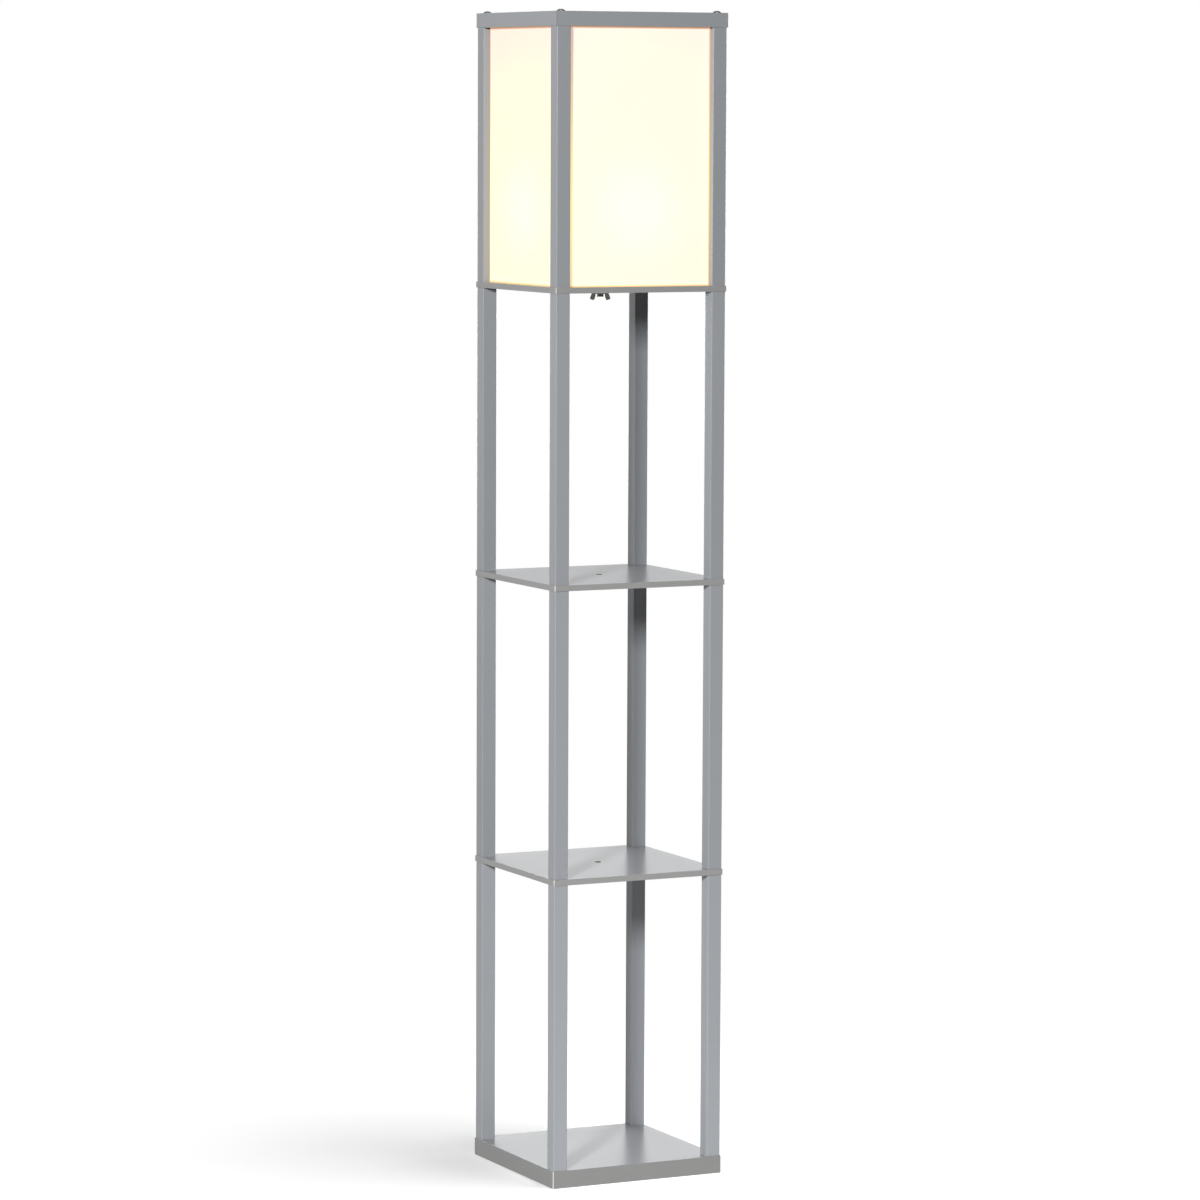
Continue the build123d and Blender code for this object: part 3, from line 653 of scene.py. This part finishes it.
def lathed(name, outline, turns):
    """A closed outline of (radius, height, thread) points spun round the Z axis; thread is kept per point."""
    mesh = bpy.data.meshes.new(name)
    points, weights, faces = [], [], []
    for radius, height, thread in outline:
        for turn in range(turns):
            angle = math.tau * turn / turns
            points.append((radius * math.cos(angle), radius * math.sin(angle), height))
            weights.append(thread)
    count = len(outline)
    for ring in range(count):
        above = (ring + 1) % count
        for turn in range(turns):
            after = (turn + 1) % turns
            faces.append((ring * turns + turn, ring * turns + after, above * turns + after,
                          above * turns + turn))
    mesh.from_pydata(points, [], faces)
    mesh.attributes.new("thread", "FLOAT", "POINT").data.foreach_set("value", weights)
    mesh.shade_smooth()
    mesh.set_sharp_from_angle(angle=math.radians(50))
    return mesh


# ---------------------------------------------------------------- geometry node trees
def geometry_tree(name, inputs):
    """A geometry node tree with a mesh input, named value inputs and a mesh output."""
    tree = bpy.data.node_groups.new(name, "GeometryNodeTree")
    tree.interface.new_socket("Geometry", in_out="INPUT", socket_type="NodeSocketGeometry")
    for label, (kind, default) in inputs.items():
        socket = tree.interface.new_socket(label, in_out="INPUT", socket_type="NodeSocket" + kind)
        if default is not None:
            socket.default_value = default
    tree.interface.new_socket("Geometry", in_out="OUTPUT", socket_type="NodeSocketGeometry")
    return tree, tree.nodes.new("NodeGroupInput").outputs, tree.nodes.new("NodeGroupOutput").inputs


def run_tree(piece, tree, **values):
    """Put the tree on a piece with its named inputs set, and keep the result as a plain mesh."""
    modifier = piece.modifiers.new(tree.name, "NODES")
    modifier.node_group = tree
    sockets = {item.name: item.identifier for item in tree.interface.items_tree if item.in_out == "INPUT"}
    for label, value in values.items():
        modifier[sockets[label.replace("_", " ")]] = value
    return made_plain(piece)


def make_thread_tree():
    """Cut a round thread into a spun mesh: points weighted 1 follow the helix, and points weighted 0 stay."""
    tree, given, result = geometry_tree("round_thread", {
        "Pitch": ("Float", 0.001), "Depth": ("Float", 0.0005), "Material": ("Material", None)})
    place = put(tree, "GeometryNodeInputPosition").outputs[0]
    side, depth, up = split(tree, place)
    angle = maths(tree, "DIVIDE", maths(tree, "ARCTAN2", depth, side), math.tau)
    turns = maths(tree, "SUBTRACT", maths(tree, "DIVIDE", up, given["Pitch"]), angle)
    wave = maths(tree, "COSINE", maths(tree, "MULTIPLY", turns, math.tau))
    cut = maths(tree, "MULTIPLY", maths(tree, "MULTIPLY_ADD", wave, 0.5, -0.5), given["Depth"])
    weight = put(tree, "GeometryNodeInputNamedAttribute", {"Name": "thread"}, data_type="FLOAT").outputs[0]
    outward = put(tree, "ShaderNodeCombineXYZ", {0: side, 1: depth}).outputs[0]
    outward = vector_maths(tree, "NORMALIZE", outward)
    offset = put(tree, "ShaderNodeVectorMath", {0: outward, "Scale": maths(tree, "MULTIPLY", cut, weight)},
                 operation="SCALE").outputs[0]
    moved = put(tree, "GeometryNodeSetPosition", {"Geometry": given["Geometry"], "Offset": offset}).outputs[0]
    whole = put(tree, "GeometryNodeRealizeInstances", {"Geometry": moved}).outputs[0]
    painted = put(tree, "GeometryNodeSetMaterial", {"Geometry": whole, "Material": given["Material"]})
    tree.links.new(painted.outputs[0], result["Geometry"])
    return tree


def make_rib_tree():
    """Set upright ribs side by side round a sleeve on the Z axis."""
    tree, given, result = geometry_tree("grip_ribs", {
        "Count": ("Int", 48), "Radius": ("Float", 0.019), "Low": ("Float", 0.0), "High": ("Float", 0.01),
        "Rib Radius": ("Float", 0.0005), "Material": ("Material", None)})
    ring = put(tree, "GeometryNodeMeshCircle", {"Vertices": given["Count"], "Radius": given["Radius"]})
    length = maths(tree, "SUBTRACT", given["High"], given["Low"])
    rib = put(tree, "GeometryNodeMeshCylinder", {"Vertices": 8, "Radius": given["Rib Radius"],
                                                 "Depth": length}).outputs["Mesh"]
    middle = maths(tree, "MULTIPLY", maths(tree, "ADD", given["High"], given["Low"]), 0.5)
    lift = put(tree, "ShaderNodeCombineXYZ", {2: middle}).outputs[0]
    raised = put(tree, "GeometryNodeTransform", {"Geometry": ring.outputs[0], "Translation": lift}).outputs[0]
    ribs = put(tree, "GeometryNodeInstanceOnPoints", {"Points": raised, "Instance": rib}).outputs[0]
    both = put(tree, "GeometryNodeJoinGeometry")
    tree.links.new(ribs, both.inputs[0])
    tree.links.new(given["Geometry"], both.inputs[0])
    whole = put(tree, "GeometryNodeRealizeInstances", {"Geometry": both.outputs[0]}).outputs[0]
    painted = put(tree, "GeometryNodeSetMaterial", {"Geometry": whole, "Material": given["Material"]})
    tree.links.new(painted.outputs[0], result["Geometry"])
    return tree


round_thread = make_thread_tree()
grip_ribs = make_rib_tree()


# ---------------------------------------------------------------- boards, posts and top frame
def make_woodwork():
    """The boards, their edge bands, the posts and the top frame, each with softened edges."""
    for node in BOARDS:
        softened(node, node + "_foil", board_foil, "grey_foil")
    for board, band in edge_bands.items():
        node = board + "_edging"
        softened(node, node + "_band", band, "edging", 0.15 * MM, len(SIDES))
    for tier in TIERS:
        for corner in CORNERS:
            node = f"{tier}_post_{corner}"
            softened(node, node + "_foil", post_foils[tier, corner], "grey_foil")
    for side in SIDES:
        node = "top_rail_" + side
        softened(node, node + "_foil", rail_foil, "grey_foil", 0.4 * MM)


# ---------------------------------------------------------------- shade panels
LINEN_THICKNESS = 0.12 * MM
LINEN_GAP = 0.01 * MM  # glue between film and linen
LINEN_STEP = 3 * MM


def make_linen():
    """A sheet of linen on each film panel, cut to the film's own size."""
    width = panel_high.x - panel_low.x
    height = panel_high.z - panel_low.z
    columns, rows = round(width / LINEN_STEP), round(height / LINEN_STEP)
    face = panel_low.y - LINEN_GAP
    for side, turn in SIDES.items():
        mesh = bpy.data.meshes.new("linen_" + side)
        form = bmesh.new()
        cut = form.loops.layers.uv.new("cut")
        rotate = Matrix.Rotation(math.radians(turn), 3, "Z")
        grid, flat = [], {}
        for row in range(rows + 1):
            line = []
            for column in range(columns + 1):
                across, up = width * column / columns, height * row / rows
                corner = form.verts.new(rotate @ Vector((across - width / 2, face, panel_low.z + up)))
                flat[corner] = (across, up)
                line.append(corner)
            grid.append(line)
        for row in range(rows):
            for column in range(columns):
                corners = (grid[row][column], grid[row][column + 1], grid[row + 1][column + 1],
                           grid[row + 1][column])
                for loop in form.faces.new(corners).loops:
                    loop[cut].uv = flat[loop.vert]
        form.to_mesh(mesh)
        form.free()
        piece = new_piece("linen_" + side, mesh, linen)
        thick = piece.modifiers.new("thickness", "SOLIDIFY")
        thick.thickness = LINEN_THICKNESS
        thick.offset = 1.0
        made_plain(piece)
        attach(piece, "lamp")


# ---------------------------------------------------------------- metal and moulded parts
EAR_START = 6.6 * MM  # from the nut's axis
EAR_EASE = 0.9 * MM
EAR_SWELL = 0.5 * MM
HUB_SHORTER = 0.38  # the share of its drop that the hub loses
EAR_SHORTER = 0.08
NIPPLE_PITCH = 1.0 * MM
NIPPLE_DEPTH = 0.55 * MM
NIPPLE_BORE = 4.0 * MM  # a radius, like the sizes of the cap and the skirt below
NIPPLE_CHAMFER = 0.4 * MM
CAP_PITCH = 3.629 * MM
CAP_DEPTH = 0.9 * MM
CAP_COLLAR = 3.5 * MM
CAP_ROOT = 12.2 * MM
CAP_INNER = 11.6 * MM
CAP_FOOT = 10.5 * MM
CAP_FOOT_LAND = 1.0 * MM
SKIRT_SPIGOT = 17.25 * MM
SKIRT_BORE = 15.3 * MM
SKIRT_CHAMFER = 1.0 * MM
RIB_RADIUS = 0.55 * MM
RIB_COUNT = 60
RIB_FREE = 4.0 * MM  # from a rib's end to the end of the skirt
RINGS_PER_TURN = 10


def thread_rings(radius, low, high, pitch):
    """Outline points up a threaded wall, easing in and out over one pitch at its ends."""
    count = math.ceil((high - low) / pitch * RINGS_PER_TURN)
    points = []
    for step in range(count + 1):
        height = low + (high - low) * step / count
        ease = min(1.0, (height - low) / pitch, (high - height) / pitch)
        points.append((radius, height, max(0.0, ease)))
    return points


def make_nipple():
    """The hollow nipple, with its thread cut as a real helix."""
    low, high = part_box("threaded_nipple")
    face = high.x - NIPPLE_CHAMFER
    outline = [(NIPPLE_BORE, low.z, 0.0), (face, low.z, 0.0)]
    outline += thread_rings(high.x, low.z + NIPPLE_CHAMFER, high.z - NIPPLE_CHAMFER, NIPPLE_PITCH)
    outline += [(face, high.z, 0.0), (NIPPLE_BORE, high.z, 0.0)]
    piece = new_piece("nipple_thread", lathed("nipple_thread", outline, 72), zinc)
    run_tree(piece, round_thread, Pitch=NIPPLE_PITCH, Depth=NIPPLE_DEPTH, Material=zinc)
    stands_for(piece, "zinc_steel", "threaded_nipple")


def make_bulb_cap():
    """The bulb's screw cap, with its rolled thread as a real helix."""
    low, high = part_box("bulb_cap")
    outline = [(CAP_FOOT - CAP_FOOT_LAND, low.z, 0.0), (CAP_FOOT, low.z, 0.0),
               (CAP_ROOT, low.z + CAP_PITCH / 2, 0.0)]
    outline += [(CAP_ROOT + (high.x - CAP_ROOT) * ease, height, ease) for _, height, ease in
                thread_rings(high.x, low.z + CAP_PITCH * 0.55, high.z - CAP_COLLAR, CAP_PITCH)]
    outline += [(CAP_ROOT, high.z - CAP_COLLAR, 0.0), (CAP_ROOT, high.z, 0.0), (CAP_INNER, high.z, 0.0),
                (CAP_INNER, low.z + CAP_PITCH / 2, 0.0)]
    piece = new_piece("bulb_cap_thread", lathed("bulb_cap_thread", outline, 96), nickel)
    run_tree(piece, round_thread, Pitch=CAP_PITCH, Depth=CAP_DEPTH, Material=nickel)
    stands_for(piece, "cap_metal", "bulb_cap")


def make_lampholder():
    """Ribs for the fingers round the skirt; the plain sleeve is drawn in so that they stay in its outline."""
    name = "lampholder_skirt_ribbed"
    low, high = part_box("lampholder_skirt")
    sleeve = high.x - RIB_RADIUS
    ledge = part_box("lampholder_core")[1].z + 0.2 * MM
    outline = [(SKIRT_SPIGOT, low.z, 0.0), (sleeve, low.z, 0.0), (sleeve, high.z - SKIRT_CHAMFER, 0.0),
               (sleeve - 0.3 * MM, high.z - 0.3 * MM, 0.0), (sleeve - SKIRT_CHAMFER, high.z, 0.0),
               (SKIRT_BORE, high.z, 0.0), (SKIRT_BORE, ledge, 0.0), (SKIRT_SPIGOT, ledge, 0.0)]
    piece = new_piece(name, lathed(name, outline, 96), black_plastic)
    run_tree(piece, grip_ribs, Count=RIB_COUNT, Radius=sleeve, Low=low.z + 0.2 * MM + RIB_FREE,
             High=high.z - RIB_FREE, Rib_Radius=RIB_RADIUS, Material=black_plastic)
    stands_for(piece, "lampholder_plastic", "lampholder_skirt")
    softened("lampholder_cap", "lampholder_cap_moulded", black_plastic, "lampholder_plastic", 0.3 * MM)


def fill_ears(nut):
    """Swell the wing nut's ears and take the hub's foot in, as a cast nut has them. The hub's top stays flat
    against the washer."""
    top = min(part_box("wing_nut")[1].z, max(corner.co.z for corner in nut.data.vertices))
    outward = [corner.normal.copy() for corner in nut.data.vertices]
    for corner, normal in zip(nut.data.vertices, outward):
        reach = math.hypot(corner.co.x, corner.co.y)
        ear = min(1.0, max(0.0, (reach - EAR_START) / EAR_EASE))
        corner.co += normal * EAR_SWELL * ear
        corner.co.z = min(corner.co.z, top)
        corner.co.z += (top - corner.co.z) * (HUB_SHORTER + (EAR_SHORTER - HUB_SHORTER) * ear)


def make_hardware():
    """The wing nut, the washer and the screws on top, as they show from outside."""
    fill_ears(cast("wing_nut", "wing_nut_cast", nut_zinc, "zinc_steel", 0.30 * MM, 2))
    softened("washer", "washer_pressed", zinc, "zinc_steel", 0.25 * MM)
    softened("top_screws", "top_screws_rounded", black_zinc, "black_steel", 0.25 * MM)


KEPT_NODES = {
    "base_bolts": zinc_thread, "lower_shelf_studs": zinc_thread, "middle_shelf_studs": zinc_thread,
    "shade_floor_studs": zinc_thread, "lower_post_inserts": zinc, "middle_post_inserts": zinc,
    "upper_post_inserts": zinc, "shade_post_inserts": zinc, "lampholder_core": core_plastic,
    "terminal_screws": brass, "screw_shell": brass, "contact_tongue": brass, "bulb_foot_contact": brass,
    "bulb_cap_insulator": black_glass, "bulb_housing": bulb_plastic, "bulb_led_board": led_board,
    "bulb_driver_board": circuit_board, "bulb_globe": opal, "diffuser_front": film, "diffuser_back": film,
    "diffuser_left": film, "diffuser_right": film}


def finish_kept_nodes():
    """The CAD nodes whose shape is right keep it, and get their finish."""
    for node, material in KEPT_NODES.items():
        for material_slot in frame["nodes"][node].material_slots:
            material_slot.material = material


# ---------------------------------------------------------------- studio
def place_camera():
    """The camera that sees the lamp as the photograph does."""
    data = bpy.data.cameras.new("camera")
    data.lens = CAMERA_LENS
    data.sensor_width = SENSOR
    data.clip_start = 0.1
    data.clip_end = 100.0
    camera = bpy.data.objects.new("camera", data)
    bpy.context.scene.collection.objects.link(camera)
    turn = Matrix.Rotation(math.radians(-CAMERA_TURN), 4, "Z")
    tilt = Matrix.Rotation(math.radians(90 - CAMERA_DIP), 4, "X")
    roll = Matrix.Rotation(math.radians(CAMERA_ROLL), 4, "Z")
    camera.matrix_world = Matrix.Translation(CAMERA_PLACE) @ turn @ tilt @ roll
    bpy.context.scene.camera = camera


def area_light(name, place, target, size, power):
    """A soft light that looks from one point to another; size is a square's side, or a width and height."""
    data = bpy.data.lights.new(name, "AREA")
    data.energy = power
    if isinstance(size, tuple):
        data.shape = "RECTANGLE"
        data.size, data.size_y = size
    else:
        data.size = size
    light = bpy.data.objects.new(name, data)
    bpy.context.scene.collection.objects.link(light)
    light.location = place
    light.rotation_mode = "QUATERNION"
    light.rotation_quaternion = (Vector(target) - Vector(place)).to_track_quat("-Z", "Y")
    return light


def light_only(light, floor, state):
    """Let a light fall on the floor only ("INCLUDE"), or on everything else ("EXCLUDE")."""
    reached = bpy.data.collections.new(light.name + "_reach")
    reached.objects.link(floor)
    reached.collection_objects[0].light_linking.link_state = state
    light.light_linking.receiver_collection = reached


def seen_rays(tree):
    """1 for camera, glossy and transmission rays, which see the background; 0 for light on the object."""
    rays = put(tree, "ShaderNodeLightPath").outputs
    either = maths(tree, "MAXIMUM", rays["Is Camera Ray"], rays["Is Glossy Ray"])
    return maths(tree, "MAXIMUM", either, rays["Is Transmission Ray"])


def light_world():
    """White behind the lamp and in its gloss, and nearly dark to matt surfaces."""
    world = bpy.data.worlds.new("studio")
    bpy.context.scene.world = world
    world.use_nodes = True
    tree = world.node_tree
    tree.nodes.clear()
    ambient = put(tree, "ShaderNodeBackground", {"Color": (1, 1, 1, 1), "Strength": AMBIENT}).outputs[0]
    heading = split(tree, put(tree, "ShaderNodeTexCoord").outputs["Generated"])[1]
    mirrored = between(tree, heading, -0.7, 0.1, FRONT_GLOSS, 1.0)
    shown = put(tree, "ShaderNodeLightPath").outputs["Is Camera Ray"]
    strength = maths(tree, "MAXIMUM", mirrored, shown)
    white = put(tree, "ShaderNodeBackground", {"Color": (1, 1, 1, 1), "Strength": strength}).outputs[0]
    both = put(tree, "ShaderNodeMixShader", {0: seen_rays(tree), 1: ambient, 2: white})
    put(tree, "ShaderNodeOutputWorld", {"Surface": both.outputs[0]})


def make_floor():
    """A plain white floor that keeps the lamp's shadow and runs out into the white background."""
    mesh = bpy.data.meshes.new("floor")
    reach = FLOOR_SPAN / 2
    mesh.from_pydata([(-reach, -reach, 0), (reach, -reach, 0), (reach, reach, 0), (-reach, reach, 0)], [],
                     [(0, 1, 2, 3)])
    made = bpy.data.materials.new("floor")
    made.use_nodes = True
    tree = made.node_tree
    tree.nodes.clear()
    place = here(tree)
    shaded = put(tree, "ShaderNodeBsdfDiffuse", {"Color": (0.80, 0.80, 0.80, 1)}).outputs[0]
    open_light = put(tree, "ShaderNodeEmission", {"Color": (1, 1, 1, 1), "Strength": FLOOR_OPEN}).outputs[0]
    near = put(tree, "ShaderNodeAddShader", {0: shaded, 1: open_light}).outputs[0]
    white = put(tree, "ShaderNodeEmission", {"Color": (1, 1, 1, 1), "Strength": 1.0}).outputs[0]
    black = put(tree, "ShaderNodeBsdfDiffuse", {"Color": (0, 0, 0, 1)}).outputs[0]
    away = put(tree, "ShaderNodeVectorMath", {0: place}, operation="LENGTH").outputs["Value"]
    seen = put(tree, "ShaderNodeMixShader", {0: between(tree, away, FLOOR_NEAR, FLOOR_FAR), 1: near,
                                             2: white}).outputs[0]
    bounce = between(tree, away, BOUNCE_NEAR, BOUNCE_FAR, FLOOR_BOUNCE, 0.0)
    rays = put(tree, "ShaderNodeLightPath").outputs
    direct = maths(tree, "MAXIMUM", rays["Is Camera Ray"], rays["Is Transmission Ray"])
    gloss = maths(tree, "MULTIPLY", rays["Is Glossy Ray"], FLOOR_GLOSS)
    share = maths(tree, "MAXIMUM", maths(tree, "MAXIMUM", direct, gloss), bounce)
    whole = put(tree, "ShaderNodeMixShader", {0: share, 1: black, 2: seen}).outputs[0]
    put(tree, "ShaderNodeOutputMaterial", {"Surface": whole})
    floor = new_piece("floor", mesh, made)
    return floor


def light_studio():
    """The floor and the lights. Each light falls on the lamp only or on the floor only."""
    floor = make_floor()
    middle = (0, 0, (cad_box[0].z + cad_box[1].z) / 2)
    key = area_light("key", KEY_PLACE, middle, KEY_SIZE, KEY_POWER)
    side_fill = area_light("side_fill", SIDE_FILL_PLACE, middle, FILL_SIZE, SIDE_FILL_POWER)
    rear_fill = area_light("rear_fill", REAR_FILL_PLACE, middle, FILL_SIZE, REAR_FILL_POWER)
    back = area_light("back_strip", BACK_PLACE, (0, 0, BACK_PLACE[2]), BACK_SIZE, BACK_POWER)
    top = area_light("top_light", TOP_LIGHT_PLACE, (0, 0, 0), TOP_LIGHT_SIZE, TOP_LIGHT_POWER)
    for light in (side_fill, rear_fill, back, top):
        light.visible_camera = False
        light_only(light, floor, "EXCLUDE")
    above = area_light("floor_light", FLOOR_LIGHT_PLACE, (0, 0, 0), FLOOR_LIGHT_SIZE, FLOOR_LIGHT_POWER)
    light_only(key, floor, "EXCLUDE")
    light_only(above, floor, "INCLUDE")


bpy.context.scene.view_settings.view_transform = "Standard"
make_woodwork()
make_linen()
make_nipple()
make_bulb_cap()
make_lampholder()
make_hardware()
finish_kept_nodes()
place_camera()
light_world()
light_studio()
